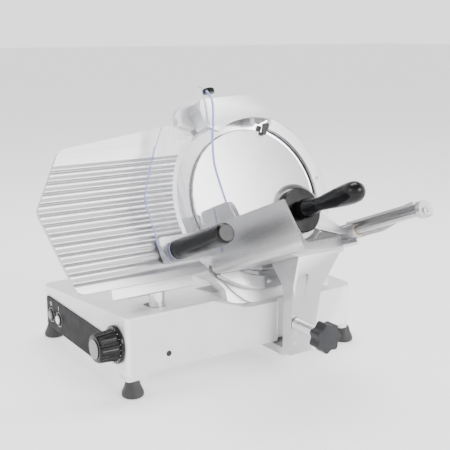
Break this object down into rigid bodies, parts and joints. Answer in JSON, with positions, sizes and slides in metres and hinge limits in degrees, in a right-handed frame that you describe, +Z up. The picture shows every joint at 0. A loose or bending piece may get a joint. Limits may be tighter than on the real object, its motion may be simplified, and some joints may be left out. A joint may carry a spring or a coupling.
{
  "type": "deli meat slicer",
  "caption": "Gravity-feed meat slicer with a tilted round blade, ribbed gauge plate, sliding food carriage with pusher and guard, and dial control.",
  "frame": {"origin": "middle of the object's outline on the surface it stands on", "axes": "+X is the carriage's travel away from the operator, -Y is the carriage side and the blade's cutting face, +Z is up"},
  "size_m": [0.5593, 0.6004, 0.4605],
  "materials": {
    "cast": "bead-blasted and anodised cast aluminium, satin",
    "anodised": "brushed, anodised aluminium, satin",
    "steel": "bright turned steel",
    "blade": "ground and polished steel",
    "black": "black gloss plastic",
    "knob": "charcoal moulded plastic",
    "panel": "dark membrane, satin",
    "rubber": "black rubber",
    "white": "white gloss plastic",
    "grey": "grey plastic",
    "motor": "painted motor body",
    "stone": "bonded abrasive",
    "brass": "sintered bronze bush",
    "clear": "clear polycarbonate"
  },
  "bodies": {
    "base": {"base_housing": "cast", "bottom_plate": "anodised", "foot_front_left": "rubber", "foot_front_right": "rubber", "foot_back_left": "rubber", "foot_back_right": "rubber", "control_panel": "panel", "start_bezel": "black", "stop_bezel": "black", "switch_block": "black", "gauge_rail": "steel", "blade_carrier": "cast", "drive_housing": "cast", "motor_cover": "cast", "motor": "motor", "drive_belt": "rubber", "blade_guard": "anodised", "blade_cover": "anodised", "front_bearing": "steel", "rear_bearing": "steel", "sharpener_base": "cast", "sharpener_cover": "cast", "rubber_stop": "rubber", "slide_rod": "steel", "cord_gland": "black"},
    "start_button": {"start_button": "white"},
    "stop_button": {"stop_button": "grey"},
    "dial": {"thickness_dial": "black", "dial_cap": "grey", "dial_shaft": "steel", "dial_cam": "steel"},
    "gauge": {"gauge_plate": "anodised", "gauge_bracket": "cast", "gauge_screw_left": "steel", "gauge_screw_right": "steel", "gauge_column": "steel", "gauge_slider": "cast", "cam_follower": "steel"},
    "blade": {"blade": "blade", "blade_spindle": "steel", "blade_pulley": "cast"},
    "motor_pulley": {"motor_pulley": "steel"},
    "sharpener_knob": {"sharpener_knob": "black"},
    "grinding_stone": {"grinding_stone": "stone"},
    "deburring_stone": {"deburring_stone": "stone"},
    "slider": {"slider_block": "cast"},
    "carriage": {"carriage_post": "cast", "clamp_stem": "steel", "carriage_tray": "anodised", "pusher_arm": "cast", "pusher_rod": "steel", "arm_screw": "steel", "grip_bracket": "cast", "carriage_grip": "black", "hand_guard": "clear"},
    "clamp_knob": {"clamp_knob": "knob"},
    "pusher_bush": {"pusher_bush": "brass"},
    "pusher": {"pusher_plate": "cast", "pusher_disc": "black", "pusher_handle": "black"}
  },
  "joints": [
    {"name": "carriage_slide", "type": "slide", "parent": "base", "child": "slider", "axis": [1, 0, 0], "range_m": [-0.22, 0.064]},
    {"name": "carriage_tilt", "type": "hinge", "parent": "slider", "child": "carriage", "pos_m": [0.11815, -0.07325, 0.025], "axis": [1, 0, 0], "range_deg": [0, 25]},
    {"name": "clamp_turn", "type": "hinge", "parent": "carriage", "child": "clamp_knob", "pos_m": [0.10615, -0.13725, 0.08], "axis": [0, -1, 0], "range_deg": [0, 360]},
    {"name": "pusher_slide", "type": "slide", "parent": "carriage", "child": "pusher_bush", "axis": [0, -0.9272, 0.3746], "range_m": [-0.094, 0.13]},
    {"name": "pusher_swing", "type": "hinge", "parent": "pusher_bush", "child": "pusher", "pos_m": [0.17815, -0.14396, 0.2359], "axis": [0, -0.9272, 0.3746], "range_deg": [-70, 0]},
    {"name": "dial_turn", "type": "hinge", "parent": "base", "child": "dial", "pos_m": [-0.18285, -0.02225, 0.083], "axis": [1, 0, 0], "range_deg": [0, 300]},
    {"name": "gauge_slide", "type": "slide", "parent": "base", "child": "gauge", "axis": [0, 0.9272, -0.3746], "range_m": [0, 0.014]},
    {"name": "blade_spin", "type": "hinge", "parent": "base", "child": "blade", "pos_m": [0.10215, 0.02402, 0.26725], "axis": [0, -0.9272, 0.3746], "continuous": true},
    {"name": "motor_spin", "type": "hinge", "parent": "base", "child": "motor_pulley", "pos_m": [0.10215, 0.00688, 0.14475], "axis": [0, -0.9272, 0.3746], "continuous": true},
    {"name": "start_press", "type": "slide", "parent": "base", "child": "start_button", "axis": [1, 0, 0], "range_m": [0, 0.0025], "stiffness_N_per_m": 400, "springref_m": -0.003},
    {"name": "stop_press", "type": "slide", "parent": "base", "child": "stop_button", "axis": [1, 0, 0], "range_m": [0, 0.0025], "stiffness_N_per_m": 400, "springref_m": -0.003},
    {"name": "sharpener_turn", "type": "hinge", "parent": "base", "child": "sharpener_knob", "pos_m": [0.04015, 0.06412, 0.44659], "axis": [0, 0.3746, 0.9272], "range_deg": [0, 360]},
    {"name": "grinding_stone_spin", "type": "hinge", "parent": "base", "child": "grinding_stone", "pos_m": [0.07215, 0.05759, 0.41439], "axis": [0, -0.9994, 0.0349], "continuous": true},
    {"name": "deburring_stone_spin", "type": "hinge", "parent": "base", "child": "deburring_stone", "pos_m": [0.10415, 0.05759, 0.41439], "axis": [0, -0.9994, 0.0349], "continuous": true}
  ],
  "couplings": [
    {"joint": "dial_turn", "follows": "gauge_slide", "rad_per_m": 373.9},
    {"joint": "motor_spin", "follows": "blade_spin", "ratio": 2.9}
  ]
}
